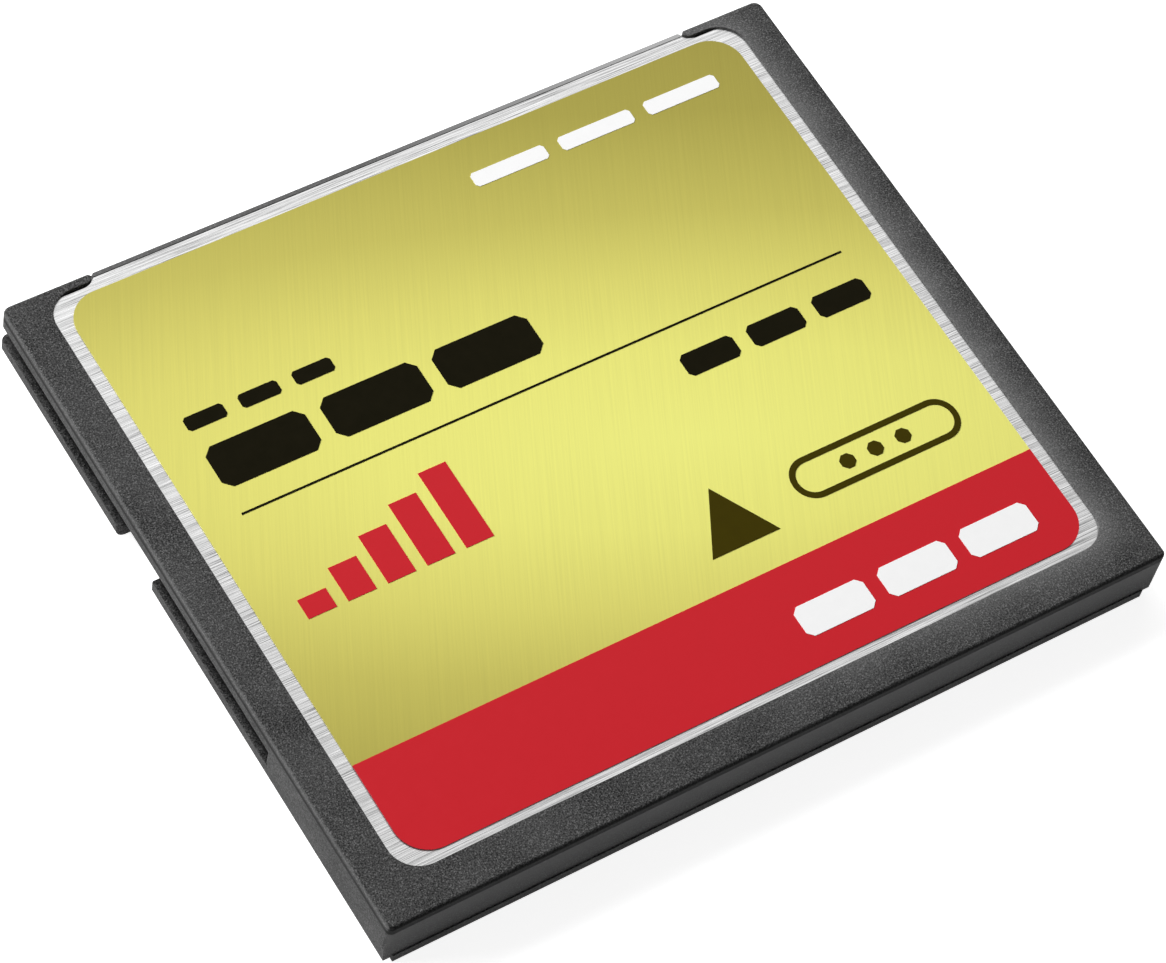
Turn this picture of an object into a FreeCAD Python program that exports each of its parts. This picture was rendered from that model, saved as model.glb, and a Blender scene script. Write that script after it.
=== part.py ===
import FreeCAD, Part

import math
import os
from types import SimpleNamespace

import Sketcher

# Compact flash card, Type I
#
# The card lies flat with its label up. The origin is under the middle of the
# card, at the height of the lowest point, which is the pull lip. +X runs to
# the right of the label, +Y to the socket edge and +Z up through the label.

DRIVING_SIZES = {
    # card
    "card_width": 42.80,
    "card_length": 36.40,
    "body_thick": 3.30,
    "nose_corner": 0.45,
    "tail_corner": 0.30,
    "fit_gap": 0.02,
    # main frame
    "edge_round": 0.15,
    "parting_height": 1.20,
    "parting_step": 0.04,
    "wall_lean": 0.08,
    "lip_drop": 0.30,
    "lip_inset": 0.57,
    "lip_depth": 0.76,
    "lip_chamfer": 0.03,
    # guide slots and their notches
    "slot_length": 25.78,
    "slot_depth": 1.01,
    "slot_high": 2.15,
    "slot_low_left": 0.86,
    "slot_low_right": 1.16,
    "slot_lead_in": 0.05,
    "notch_start": 11.78,
    "notch_length": 3.22,
    "notch_nose_round": 0.45,
    "notch_tail_round": 0.15,
    # cavity and the ledge that the board lies on
    "side_wall": 1.80,
    "tail_wall": 1.60,
    "ledge_width": 0.60,
    "nose_block": 4.00,
    "cavity_corner": 0.50,
    "window_round": 1.20,
    "floor_lip": 0.10,
    # top frame
    "cover_thick": 0.38,
    "cover_lip": 0.12,
    "cover_round": 0.20,
    "side_border": 1.93,
    "tail_border": 2.00,
    "arm_width": 0.48,
    "arm_inset": 0.12,
    "arm_chamfer": 0.17,
    "arm_tip": 0.25,
    "arm_shoulder": 0.45,
    "arm_tip_round": 0.50,
    "panel_round": 1.55,
    # metal panels
    "panel_thick": 0.20,
    "panel_tuck": 0.30,
    "tuck_shoulder": 0.58,
    "panel_setback": 0.30,
    "arm_relief": 0.15,
    "relief_round": 0.85,
    "floor_tuck": 0.40,
    # label and its print
    "label_thick": 0.06,
    "label_side": 2.65,
    "label_nose": 1.00,
    "label_tail": 2.50,
    "label_round": 1.70,
    "ink_thick": 0.02,
    "stripe_width": 5.37,
    "print_margin": 4.65,
    "rule_above_stripe": 13.67,
    "rule_width": 0.11,
    "bar_gap": 0.80,
    "bars_in_row": 3,
    "top_bars_from_nose": 3.80,
    "top_bar_length": 4.20,
    "top_bar_height": 0.85,
    "thin_bars_above_stripe": 18.63,
    "thin_bar_length": 2.10,
    "thin_bar_height": 0.80,
    "bold_bars_above_stripe": 15.13,
    "bold_bar_length": 5.30,
    "bold_bar_height": 2.40,
    "right_bars_above_stripe": 10.73,
    "right_bar_length": 3.00,
    "right_bar_height": 1.30,
    "stripe_bars_in_stripe": 1.45,
    "stripe_bar_length": 3.90,
    "stripe_bar_height": 1.70,
    "steps_above_stripe": 7.43,
    "step_count": 5,
    "step_pitch": 2.10,
    "step_width": 1.50,
    "step_height": 1.10,
    "step_rise": 0.85,
    "pill_above_stripe": 2.23,
    "pill_length": 9.50,
    "pill_height": 2.35,
    "pill_line": 0.32,
    "pill_dot": 0.80,
    "pill_dot_pitch": 1.60,
    "arrow_gap": 1.80,
    "arrow_width": 3.80,
    "arrow_height": 3.40,
    # insulating films
    "film_thick": 0.06,
    # socket
    "corner_block": 4.65,
    "header_gap": 0.10,
    "header_depth": 5.40,
    "header_setback": 0.03,
    "flange_depth": 0.21,
    "flange_reveal": 0.14,
    "flange_chamfer": 0.12,
    "tongue_depth": 0.60,
    "tongue_width": 1.20,
    "tongue_setback": 1.80,
    "pin_pitch": 1.27,
    "row_pitch": 1.27,
    "pin_margin": 1.10,
    "pin_hole": 0.60,
    "pin_hole_depth": 0.90,
    "pin_lead_in": 0.12,
    "chamber_width": 0.55,
    "chamber_height": 0.94,
    # contacts
    "contact_thick": 0.30,
    "contact_base": 0.90,
    "contact_stem": 0.50,
    "beam_length": 2.80,
    "beam_thick": 0.18,
    "beam_gap": 0.40,
    "tail_thick": 0.15,
    "foot_length": 1.00,
    # board
    "board_thick": 0.60,
    "board_level": 1.50,
    "board_chamfer": 0.60,
    # flash chips
    "flash_width": 12.00,
    "flash_length": 18.40,
    "flash_thick": 1.00,
    "flash_standoff": 0.08,
    "flash_gap": 0.90,
    "flash_edge": 0.70,
    "flash_tail_gap": 0.20,
    "flash_leads": 24,
    "flash_lead_pitch": 0.50,
    "flash_lead_width": 0.22,
    "flash_lead_reach": 0.80,
    "flash_lead_thick": 0.13,
    # parts under the board
    "controller_side": 10.00,
    "controller_thick": 0.78,
    "controller_mark": 0.80,
    "mark_depth": 0.05,
    "crystal_length": 3.20,
    "crystal_width": 2.50,
    "crystal_thick": 0.70,
    "crystal_rim": 0.20,
    "crystal_base": 0.45,
    # power parts beside the flash chips
    "power_lane": 2.20,
    "regulator_length": 2.90,
    "regulator_width": 1.60,
    "regulator_thick": 0.90,
    "inductor_side": 3.00,
    "inductor_thick": 1.00,
    "inductor_corner": 0.80,
    "tantalum_length": 3.20,
    "tantalum_width": 1.60,
    "tantalum_thick": 1.00,
    "tantalum_tab": 0.60,
    "reset_length": 2.90,
    "reset_width": 1.30,
    "reset_thick": 0.90,
    "small_lead_pitch": 0.95,
    "small_lead_width": 0.40,
    "small_lead_reach": 0.60,
    "small_lead_thick": 0.13,
    # chip capacitors and resistor arrays
    "capacitor_length": 1.00,
    "capacitor_width": 0.50,
    "capacitor_thick": 0.50,
    "capacitor_cap": 0.25,
    "capacitor_pitch": 2.40,
    "capacitor_count": 12,
    "array_gap": 0.25,
    "array_length": 2.00,
    "array_width": 1.00,
    "array_thick": 0.45,
    "array_land": 0.28,
    "array_land_pitch": 0.50,
    "array_pitch": 6.20,
    "array_count": 5,
}

# Clipped corner of a printed bar or dot, and corner radius of the pill, as shares of the height
BAR_CLIP = 0.18
DOT_CLIP = 0.3
PILL_ROUNDNESS = 0.49
DOT_COUNT = 3
# Where a lead meets the board, as a share of its reach
ANKLE_PLACE = 0.5
# How far a cut runs past the outside of the card
OVERRUN = 1.0
SOLID_TOLERANCE = 1e-6

doc = FreeCAD.newDocument("compact_flash_card")


# Sizes

class Size:
    """A length, known as a number and as the sheet expression that drives it."""

    def __init__(self, text, value):
        self.text = text
        self.value = float(value)

    def __add__(self, other):
        other = as_size(other)
        return Size(f"({self.text} + {other.text})", self.value + other.value)

    def __radd__(self, other):
        return as_size(other) + self

    def __sub__(self, other):
        other = as_size(other)
        return Size(f"({self.text} - {other.text})", self.value - other.value)

    def __rsub__(self, other):
        return as_size(other) - self

    def __mul__(self, other):
        other = as_size(other)
        return Size(f"({self.text} * {other.text})", self.value * other.value)

    def __rmul__(self, other):
        return as_size(other) * self

    def __truediv__(self, other):
        other = as_size(other)
        return Size(f"({self.text} / {other.text})", self.value / other.value)

    def __neg__(self):
        return 0 - self


def as_size(number):
    if isinstance(number, Size):
        return number
    return Size(f"({number:.9g})", number)


def square_root(size):
    return Size(f"sqrt({size.text})", math.sqrt(size.value))


def whole_number(size):
    return Size(f"floor({size.text})", math.floor(size.value))


def write_sheet():
    """Write the driving sizes into the sheet and hand them back by name."""
    sheet = doc.addObject("Spreadsheet::Sheet", "sizes")
    named = SimpleNamespace()
    for line, (name, value) in enumerate(DRIVING_SIZES.items(), start=1):
        sheet.set(f"A{line}", name)
        sheet.set(f"B{line}", str(value))
        sheet.setAlias(f"B{line}", name)
        setattr(named, name, Size(f"sizes.{name}", value))
    doc.recompute()
    return named


def bind(item, name, size):
    item.setExpression(name, as_size(size).text)


# Sketches and features

def origin_item(body, role):
    return next(item for item in body.Origin.OriginFeatures if item.Role == role)


def corner(x, y, radius=None, turn="left"):
    """A corner of an outline. With a radius, the edge that leaves it is an arc."""
    return SimpleNamespace(x=as_size(x), y=as_size(y), radius=radius, turn=turn)


def box_loop(x_low, y_low, x_high, y_high):
    return [
        corner(x_low, y_low),
        corner(x_high, y_low),
        corner(x_high, y_high),
        corner(x_low, y_high),
    ]


def round_box_loop(x_low, y_low, x_high, y_high, radius):
    return [
        corner(x_low + radius, y_low),
        corner(x_high - radius, y_low, radius),
        corner(x_high, y_low + radius),
        corner(x_high, y_high - radius, radius),
        corner(x_high - radius, y_high),
        corner(x_low + radius, y_high, radius),
        corner(x_low, y_high - radius),
        corner(x_low, y_low + radius, radius),
    ]


def clipped_box_loop(x_low, y_low, x_high, y_high, cut):
    return [
        corner(x_low + cut, y_low),
        corner(x_high - cut, y_low),
        corner(x_high, y_low + cut),
        corner(x_high, y_high - cut),
        corner(x_high - cut, y_high),
        corner(x_low + cut, y_high),
        corner(x_low, y_high - cut),
        corner(x_low, y_low + cut),
    ]


def mirror_loop(right_side):
    """Close an outline that is the same on both sides of the card.

    The corners run counter-clockwise up the right side, and the left side
    repeats them backwards.
    """
    left_side = []
    for index in range(len(right_side) - 1, -1, -1):
        point = right_side[index]
        before = right_side[index - 1] if index else corner(0, 0)
        left_side.append(corner(-point.x, point.y, before.radius, before.turn))
    return right_side + left_side


def arc_edge(start, end, radius, turn):
    """The arc from start to end, shorter than a half circle."""
    step = end - start
    side = FreeCAD.Vector(-step.y, step.x, 0).normalize()
    rise = math.sqrt(max(radius ** 2 - (step.Length / 2) ** 2, 0))
    centre = (start + end) / 2 + side * (rise if turn == "left" else -rise)
    first, last = (start, end) if turn == "left" else (end, start)
    circle = Part.Circle(centre, FreeCAD.Vector(0, 0, 1), radius)
    return Part.ArcOfCircle(
        circle,
        math.atan2(first.y - centre.y, first.x - centre.x),
        math.atan2(last.y - centre.y, last.x - centre.x),
    )


def draw_loop(sketch, loop):
    """Draw a closed outline and lock each corner to the sheet."""
    points = [FreeCAD.Vector(item.x.value, item.y.value, 0) for item in loop]
    edges = []
    for index, item in enumerate(loop):
        start = points[index]
        end = points[(index + 1) % len(points)]
        if item.radius is None:
            number = sketch.addGeometry(Part.LineSegment(start, end), False)
            edges.append((number, 1, 2))
            continue
        radius = as_size(item.radius)
        arc = arc_edge(start, end, radius.value, item.turn)
        number = sketch.addGeometry(arc, False)
        edges.append((number, 1, 2) if item.turn == "left" else (number, 2, 1))
        rule = sketch.addConstraint(Sketcher.Constraint("Radius", number, radius.value))
        sketch.setExpression(f"Constraints[{rule}]", radius.text)
    for index, (number, start_end, far_end) in enumerate(edges):
        following, following_start, _ = edges[(index + 1) % len(edges)]
        sketch.addConstraint(
            Sketcher.Constraint("Coincident", number, far_end, following, following_start)
        )
        place = loop[index]
        for direction, size in (("DistanceX", place.x), ("DistanceY", place.y)):
            rule = sketch.addConstraint(
                Sketcher.Constraint(direction, -1, 1, number, start_end, size.value)
            )
            sketch.setExpression(f"Constraints[{rule}]", size.text)


def new_body(label):
    body = doc.addObject("PartDesign::Body", label)
    body.Label = label
    return body


def draw(body, name, plane, loops, level=0):
    """A sketch on one of the body's own planes, moved along its normal."""
    sketch = body.newObject("Sketcher::SketchObject", name)
    sketch.AttachmentSupport = (origin_item(body, plane), [""])
    sketch.MapMode = "FlatFace"
    bind(sketch, "AttachmentOffset.Base.z", level)
    for loop in loops:
        draw_loop(sketch, loop)
    return sketch


def pad(body, name, sketch, length):
    feature = body.newObject("PartDesign::Pad", name)
    feature.Profile = sketch
    bind(feature, "Length", length)
    return feature


def pocket(body, name, sketch, length, along_normal=False):
    """Cut a sketch out of the body, and stop if it cuts nothing."""
    doc.recompute()
    before = body.Shape.Volume
    feature = body.newObject("PartDesign::Pocket", name)
    feature.Profile = sketch
    feature.Reversed = along_normal
    bind(feature, "Length", length)
    doc.recompute()
    if before - body.Shape.Volume < SOLID_TOLERANCE:
        raise RuntimeError(f"{name} cuts nothing from {body.Label}")
    return feature


def block(body, name, x_range, y_range, z_range):
    """A rectangular pad between two heights."""
    loop = box_loop(x_range[0], y_range[0], x_range[1], y_range[1])
    sketch = draw(body, f"{name}_outline", "XY_Plane", [loop], z_range[0])
    return pad(body, name, sketch, as_size(z_range[1]) - z_range[0])


def row(body, name, originals, pitch, count, axis="X_Axis"):
    feature = body.newObject("PartDesign::LinearPattern", name)
    feature.Originals = originals
    feature.Direction = (origin_item(body, axis), [""])
    feature.Mode = "Spacing"
    bind(feature, "Offset", pitch)
    bind(feature, "Occurrences", count)
    body.Tip = feature
    return feature


def edge_names(shape, test):
    return [f"Edge{number}" for number, edge in enumerate(shape.Edges, 1) if test(edge)]


def dress(body, kind, name, test, size):
    """A fillet or chamfer on the edges of the tip that pass a test."""
    doc.recompute()
    base = body.Tip
    feature = body.newObject(f"PartDesign::{kind}", name)
    feature.Base = (base, edge_names(base.Shape, test))
    bind(feature, "Radius" if kind == "Fillet" else "Size", size)
    body.Tip = feature
    doc.recompute()
    return feature


def near(value, target):
    return abs(value - target) < 1e-4


def span(centre, width):
    return (centre - width / 2, centre + width / 2)


s = write_sheet()

# Places that several pieces share

half_width = s.card_width / 2
half_length = s.card_length / 2
body_bottom = s.lip_drop
body_top = s.lip_drop + s.body_thick
body_middle = s.lip_drop + s.body_thick / 2
frame_top = body_top - s.cover_thick
cavity_half = half_width - s.side_wall
cavity_tail = -half_length + s.tail_wall
block_rear = half_length - s.nose_block
window_half = half_width - s.side_border
window_tail = -half_length + s.tail_border
arm_inner = half_length - s.arm_width
panel_nose = half_length - s.panel_setback
top_panel_top = body_top - s.cover_lip
top_panel_bottom = top_panel_top - s.panel_thick
floor_panel_bottom = body_bottom + s.floor_lip
floor_panel_top = floor_panel_bottom + s.panel_thick
label_top = top_panel_top + s.label_thick
bay_half = half_width - s.corner_block
header_half = bay_half - s.header_gap
header_nose = half_length - s.header_setback
header_rear = header_nose - s.header_depth
board_top = s.board_level + s.board_thick
board_half = cavity_half - s.fit_gap
board_tail = cavity_tail + s.fit_gap
board_nose = header_rear - s.contact_stem / 2
contact_foot_end = header_rear - s.contact_stem - s.foot_length
upper_row = body_middle + s.row_pitch / 2
lower_row = body_middle - s.row_pitch / 2
pin_count = whole_number((2 * header_half - 2 * s.pin_margin) / s.pin_pitch) + 1
first_pin = -s.pin_pitch * (pin_count - 1) / 2


# Main frame

def card_outline():
    return mirror_loop([
        corner(half_width - s.tail_corner, -half_length, s.tail_corner),
        corner(half_width, -half_length + s.tail_corner),
        corner(half_width, half_length - s.nose_corner, s.nose_corner),
        corner(half_width - s.nose_corner, half_length),
    ])


def side_profile():
    """The outer section of the main frame, seen along the card.

    Below the parting line each wall steps in and leans in to a round edge.
    """
    low = half_width - s.wall_lean
    return mirror_loop([
        corner(low - s.edge_round, body_bottom, s.edge_round),
        corner(low, body_bottom + s.edge_round),
        corner(half_width - s.parting_step, body_bottom + s.parting_height),
        corner(half_width, body_bottom + s.parting_height),
        corner(half_width, frame_top),
    ])


def tail_section_loop():
    """What the same step, lean and round edge take from the tail wall, in section."""
    low = -half_length + s.wall_lean
    parting = body_bottom + s.parting_height
    return [
        corner(-half_length + s.parting_step, parting),
        corner(low, body_bottom + s.edge_round, s.edge_round),
        corner(low + s.edge_round, body_bottom),
        corner(low + s.edge_round, body_bottom - OVERRUN),
        corner(-half_length - OVERRUN, body_bottom - OVERRUN),
        corner(-half_length - OVERRUN, parting),
    ]


def slot_loop(side, slot_low):
    """The section of a guide slot, with a lead-in at its mouth."""
    low = body_bottom + slot_low
    high = body_bottom + s.slot_high
    mouth = side * half_width
    lead = side * (half_width - s.slot_lead_in)
    root = side * (half_width - s.slot_depth)
    outside = side * (half_width + OVERRUN)
    return [
        corner(outside, low - s.slot_lead_in),
        corner(mouth, low - s.slot_lead_in),
        corner(lead, low),
        corner(root, low),
        corner(root, high),
        corner(lead, high),
        corner(mouth, high + s.slot_lead_in),
        corner(outside, high + s.slot_lead_in),
    ]


def notch_loop(side):
    """The notch in a lower flange, and the round corners of the flange beside it."""
    low = half_length - s.notch_start - s.notch_length
    high = half_length - s.notch_start
    turn = "right" if side < 0 else "left"
    mouth = side * half_width
    root = side * (half_width - s.slot_depth)
    outside = side * (half_width + OVERRUN)
    return [
        corner(outside, low - s.notch_tail_round),
        corner(mouth, low - s.notch_tail_round, s.notch_tail_round, turn),
        corner(side * (half_width - s.notch_tail_round), low),
        corner(root, low),
        corner(root, high),
        corner(side * (half_width - s.notch_nose_round), high, s.notch_nose_round, turn),
        corner(mouth, high + s.notch_nose_round),
        corner(outside, high + s.notch_nose_round),
    ]


def bay_loop():
    """The open bay of the socket, flared at its mouth."""
    flare = bay_half + s.flange_chamfer
    rear = block_rear - s.ledge_width - OVERRUN
    return mirror_loop([
        corner(bay_half, rear),
        corner(bay_half, half_length - s.arm_tip),
        corner(flare, half_length),
        corner(flare, half_length + OVERRUN),
    ])


def make_main_frame():
    body = new_body("main_frame")
    profile = draw(body, "frame_section", "XZ_Plane", [side_profile()], -half_length)
    pad(body, "frame_block", profile, s.card_length)

    # rounded corners in plan
    outside = box_loop(
        -half_width - OVERRUN,
        -half_length - OVERRUN,
        half_width + OVERRUN,
        half_length + OVERRUN,
    )
    corners = draw(body, "plan_outline", "XY_Plane", [outside, card_outline()], frame_top)
    pocket(body, "plan_corners", corners, s.body_thick)

    # tail wall
    far_side = half_width + OVERRUN
    across = s.card_width + 2 * OVERRUN
    section = draw(body, "tail_section", "YZ_Plane", [tail_section_loop()], far_side)
    pocket(body, "tail_shape", section, across)
    lip_sides = (-half_width + s.lip_inset, half_width - s.lip_inset)
    lip_ends = (-half_length, -half_length + s.lip_depth)
    block(body, "pull_lip", lip_sides, lip_ends, (0, body_bottom + 2 * s.edge_round))
    dress(body, "Chamfer", "pull_lip_edges", is_lip_edge, s.lip_chamfer)

    # guide slots and notches
    for side, name, low in ((-1, "left", s.slot_low_left), (1, "right", s.slot_low_right)):
        slot = draw(body, f"{name}_slot_section", "XZ_Plane", [slot_loop(side, low)],
                    -half_length)
        pocket(body, f"{name}_slot", slot, s.slot_length, along_normal=True)
        notch = draw(body, f"{name}_notch_outline", "XY_Plane", [notch_loop(side)],
                     body_middle)
        pocket(body, f"{name}_notch", notch, s.body_thick)

    # cavity, window for the floor panel, and the bay of the socket
    cavity = clipped_box_loop(-cavity_half, cavity_tail, cavity_half, block_rear, s.cavity_corner)
    above = draw(body, "cavity_outline", "XY_Plane", [cavity], frame_top)
    pocket(body, "cavity", above, frame_top - s.board_level)
    window = round_box_loop(
        -cavity_half + s.ledge_width,
        cavity_tail + s.ledge_width,
        cavity_half - s.ledge_width,
        block_rear - s.ledge_width,
        s.window_round,
    )
    below = draw(body, "floor_window_outline", "XY_Plane", [window], s.board_level)
    pocket(body, "floor_window", below, s.body_thick)
    bay = draw(body, "bay_outline", "XY_Plane", [bay_loop()], frame_top)
    pocket(body, "socket_bay", bay, s.body_thick)
    groove = draw(body, "floor_groove_outline", "XY_Plane", [floor_panel_seat(0)],
                  floor_panel_top)
    pocket(body, "floor_groove", groove, s.panel_thick)

    # grooves for the tongues of the socket
    for side in (-1, 1):
        key = tongue_loop(side, s.fit_gap)
        name = "left" if side < 0 else "right"
        keyway = draw(body, f"{name}_keyway_outline", "XY_Plane", [key], frame_top)
        pocket(body, f"{name}_keyway", keyway, frame_top - floor_panel_top)
    return body


def is_lip_edge(edge):
    return near(edge.BoundBox.ZMin, 0) and near(edge.BoundBox.ZMax, 0)


def floor_panel_seat(gap):
    """The outline of the floor panel, inside the frame by a gap."""
    grow = s.floor_tuck - gap
    return round_box_loop(
        -cavity_half + s.ledge_width - grow,
        cavity_tail + s.ledge_width - grow,
        cavity_half - s.ledge_width + grow,
        block_rear - s.ledge_width + grow,
        s.window_round,
    )


def tongue_loop(side, gap):
    """A tongue on an end of the socket, or its groove with a gap round it."""
    middle = half_length - s.tongue_setback - s.tongue_width / 2
    low = middle - s.tongue_width / 2 - gap
    high = middle + s.tongue_width / 2 + gap
    root = header_half - s.tongue_depth
    tip = bay_half + s.tongue_depth + gap
    if side > 0:
        return box_loop(root, low, tip, high)
    return box_loop(-tip, low, -root, high)


# Covers

arm_end = bay_half + s.arm_inset


def cover_loop():
    """The top frame in plan: a border on three sides and two short arms."""
    round_x = window_half - s.panel_round
    return mirror_loop([
        corner(half_width - s.tail_corner, -half_length, s.tail_corner),
        corner(half_width, -half_length + s.tail_corner),
        corner(half_width, half_length - s.nose_corner, s.nose_corner),
        corner(half_width - s.nose_corner, half_length),
        corner(arm_end, half_length),
        corner(arm_end - s.arm_chamfer, half_length - s.arm_tip, s.arm_tip_round),
        corner(arm_end - s.arm_chamfer + s.arm_shoulder, arm_inner),
        corner(round_x, arm_inner, s.panel_round, "right"),
        corner(window_half, arm_inner - s.panel_round),
        corner(window_half, window_tail + s.panel_round, s.panel_round, "right"),
        corner(round_x, window_tail),
    ])


def panel_seat_loop(gap):
    """The seat of the top panel in the top frame, with a gap round it."""
    reach = s.panel_tuck + gap
    outer = s.panel_round + reach
    round_x = window_half - s.panel_round
    round_y = arm_inner - s.panel_round
    shoulder = s.tuck_shoulder - gap
    shoulder_x = round_x + shoulder
    shoulder_y = round_y + square_root(outer * outer - shoulder * shoulder)
    return mirror_loop([
        corner(round_x, window_tail - reach, outer),
        corner(window_half + reach, window_tail + s.panel_round),
        corner(window_half + reach, round_y, outer),
        corner(shoulder_x, shoulder_y),
        corner(shoulder_x, arm_inner - s.arm_relief),
    ])


def top_panel_loop():
    """The top panel: wide under the border, narrower between the arms."""
    seat = panel_seat_loop(0)
    right_side = seat[:len(seat) // 2]
    relief_x = arm_end - s.arm_chamfer + s.arm_shoulder + s.arm_relief
    right_side += [
        corner(relief_x, arm_inner - s.arm_relief, s.relief_round, "right"),
        corner(header_half, panel_nose),
    ]
    return mirror_loop(right_side)


def is_cover_rim(edge):
    """Whether an edge is on the outer rim of the top frame's upper face."""
    if not (near(edge.BoundBox.ZMin, body_top.value) and near(edge.BoundBox.ZMax, body_top.value)):
        return False
    for vertex in edge.Vertexes:
        on_side = near(abs(vertex.X), half_width.value)
        on_end = near(abs(vertex.Y), half_length.value)
        if not (on_side or on_end):
            return False
    return True


def make_top_frame():
    body = new_body("top_frame")
    outline = draw(body, "cover_outline", "XY_Plane", [cover_loop()], frame_top)
    pad(body, "cover", outline, s.cover_thick)
    seat = draw(body, "seat_outline", "XY_Plane", [panel_seat_loop(s.fit_gap)], top_panel_top)
    pocket(body, "panel_seat", seat, s.body_thick)
    dress(body, "Fillet", "rim", is_cover_rim, s.cover_round)
    return body


def make_top_panel():
    body = new_body("top_panel")
    outline = draw(body, "panel_outline", "XY_Plane", [top_panel_loop()], top_panel_bottom)
    pad(body, "sheet", outline, s.panel_thick)
    return body


def make_bottom_panel():
    """The floor panel: in the frame's groove, with a tongue under the socket."""
    body = new_body("bottom_panel")
    outline = draw(body, "panel_outline", "XY_Plane", [floor_panel_seat(s.fit_gap)],
                   floor_panel_bottom)
    pad(body, "sheet", outline, s.panel_thick)
    block(body, "socket_tongue", (-header_half, header_half),
          (header_rear, panel_nose), (floor_panel_bottom, floor_panel_top))
    return body


# Label and print

label_half = half_width - s.label_side
label_nose = half_length - s.label_nose
label_tail = -half_length + s.label_tail
stripe_nose = label_tail + s.stripe_width
print_left = -half_width + s.print_margin
print_right = half_width - s.print_margin


def make_front_label():
    body = new_body("front_label")
    loop = round_box_loop(-label_half, label_tail, label_half, label_nose, s.label_round)
    outline = draw(body, "label_outline", "XY_Plane", [loop], top_panel_top)
    pad(body, "film", outline, s.label_thick)
    return body


def ink(body, name, loops, level):
    outline = draw(body, f"{name}_outline", "XY_Plane", loops, level)
    return pad(body, name, outline, s.ink_thick)


def bar_row(body, name, side, low, length, height, level=label_top):
    """A row of equal bars that starts at one side margin of the label."""
    reach = s.bars_in_row * (length + s.bar_gap) - s.bar_gap
    left = print_left if side < 0 else print_right - reach
    loop = clipped_box_loop(left, low, left + length, low + height, height * BAR_CLIP)
    bar = ink(body, name, [loop], level)
    row(body, f"{name}_row", [bar], length + s.bar_gap, s.bars_in_row)


def make_red_print():
    """The red stripe along the tail and a stair of rising blocks."""
    body = new_body("label_red_print")
    stripe = [
        corner(-label_half + s.label_round, label_tail),
        corner(label_half - s.label_round, label_tail, s.label_round),
        corner(label_half, label_tail + s.label_round),
        corner(label_half, stripe_nose),
        corner(-label_half, stripe_nose),
        corner(-label_half, label_tail + s.label_round, s.label_round),
    ]
    ink(body, "stripe", [stripe], label_top)
    low = stripe_nose + s.steps_above_stripe
    for step in range(DRIVING_SIZES["step_count"]):
        left = print_left + step * s.step_pitch
        high = low + s.step_height + step * s.step_rise
        ink(body, f"step_{step + 1}", [box_loop(left, low, left + s.step_width, high)], label_top)
    return body


def make_black_print():
    """The thin rule, and rows of bars in the places of words."""
    body = new_body("label_black_print")
    low = stripe_nose + s.rule_above_stripe - s.rule_width / 2
    rule = box_loop(print_left, low, print_right, low + s.rule_width)
    ink(body, "rule", [rule], label_top)
    bar_row(body, "thin_bars", -1, stripe_nose + s.thin_bars_above_stripe,
            s.thin_bar_length, s.thin_bar_height)
    bar_row(body, "bold_bars", -1, stripe_nose + s.bold_bars_above_stripe,
            s.bold_bar_length, s.bold_bar_height)
    bar_row(body, "right_bars", 1, stripe_nose + s.right_bars_above_stripe,
            s.right_bar_length, s.right_bar_height)
    return body


def make_olive_print():
    """A pill-shaped ring with three dots, and an arrow head that points to the socket."""
    body = new_body("label_olive_print")
    low = stripe_nose + s.pill_above_stripe
    high = low + s.pill_height
    left = print_right - s.pill_length
    line = s.pill_line
    outer = round_box_loop(left, low, print_right, high, s.pill_height * PILL_ROUNDNESS)
    inner = round_box_loop(left + line, low + line, print_right - line, high - line,
                           (s.pill_height - 2 * line) * PILL_ROUNDNESS)
    ink(body, "pill", [outer, inner], label_top)
    dot_left = print_right - s.pill_length / 2 - s.pill_dot_pitch - s.pill_dot / 2
    dot_low = low + s.pill_height / 2 - s.pill_dot / 2
    dot = clipped_box_loop(dot_left, dot_low, dot_left + s.pill_dot, dot_low + s.pill_dot,
                           s.pill_dot * DOT_CLIP)
    right = left - s.arrow_gap
    arrow_low = low + s.pill_height / 2 - s.arrow_height / 2
    arrow = [
        corner(right - s.arrow_width, arrow_low),
        corner(right, arrow_low),
        corner(right - s.arrow_width / 2, arrow_low + s.arrow_height),
    ]
    ink(body, "arrow", [arrow], label_top)
    row(body, "dot_row", [ink(body, "dot", [dot], label_top)], s.pill_dot_pitch, DOT_COUNT)
    return body


def make_white_print():
    body = new_body("label_white_print")
    bar_row(body, "top_bars", 1, half_length - s.top_bars_from_nose,
            s.top_bar_length, s.top_bar_height)
    bar_row(body, "stripe_bars", 1, label_tail + s.stripe_bars_in_stripe,
            s.stripe_bar_length, s.stripe_bar_height, label_top + s.ink_thick)
    return body


# Socket

def flange_loop():
    """The front flange of the socket, in plan."""
    return mirror_loop([
        corner(header_half, header_nose - s.flange_depth),
        corner(header_half, header_nose - s.flange_chamfer),
        corner(header_half - s.flange_chamfer, header_nose),
    ])


def pin_loop(middle, side):
    """The square section of a pin hole, at the first pin of a row."""
    return box_loop(first_pin - side / 2, middle - side / 2, first_pin + side / 2,
                    middle + side / 2)


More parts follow.
